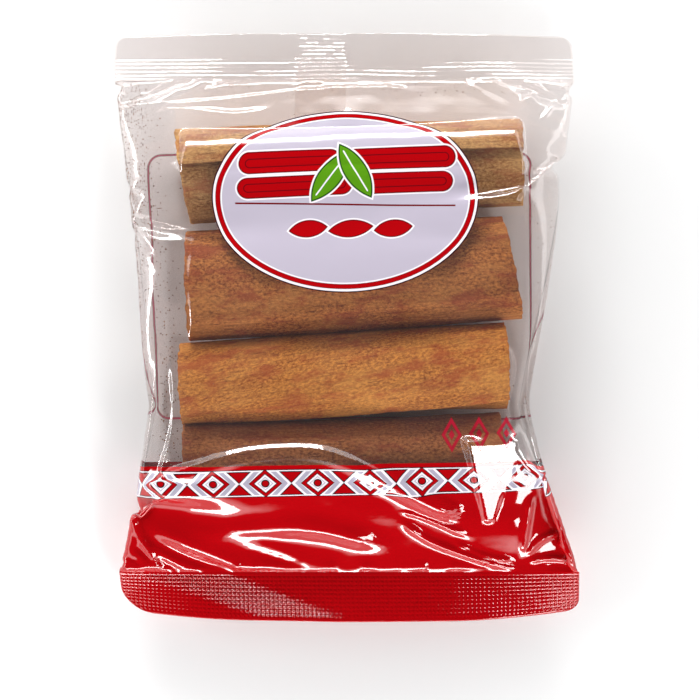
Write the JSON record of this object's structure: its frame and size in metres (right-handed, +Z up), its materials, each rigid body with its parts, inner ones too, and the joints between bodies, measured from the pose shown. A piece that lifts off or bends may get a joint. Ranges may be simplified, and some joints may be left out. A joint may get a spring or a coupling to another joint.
{
  "type": "sealed bag of cinnamon sticks",
  "caption": "Clear pillow bag of cinnamon quills stacked side by side, crimp-sealed at head and foot, printed foot band and round-ended label, lying face up.",
  "frame": {"origin": "on the floor, under the middle of the bag's box", "axes": "+X along the quills, to the right of the printed front; +Y towards the head seal; +Z up, out of the printed front"},
  "size_m": [0.11, 0.1384, 0.0238],
  "materials": {
    "film": "clear glossy packaging film, printed red at the foot"
  },
  "bodies": {
    "root": {"sealed_bag": "film"}
  },
  "joints": []
}
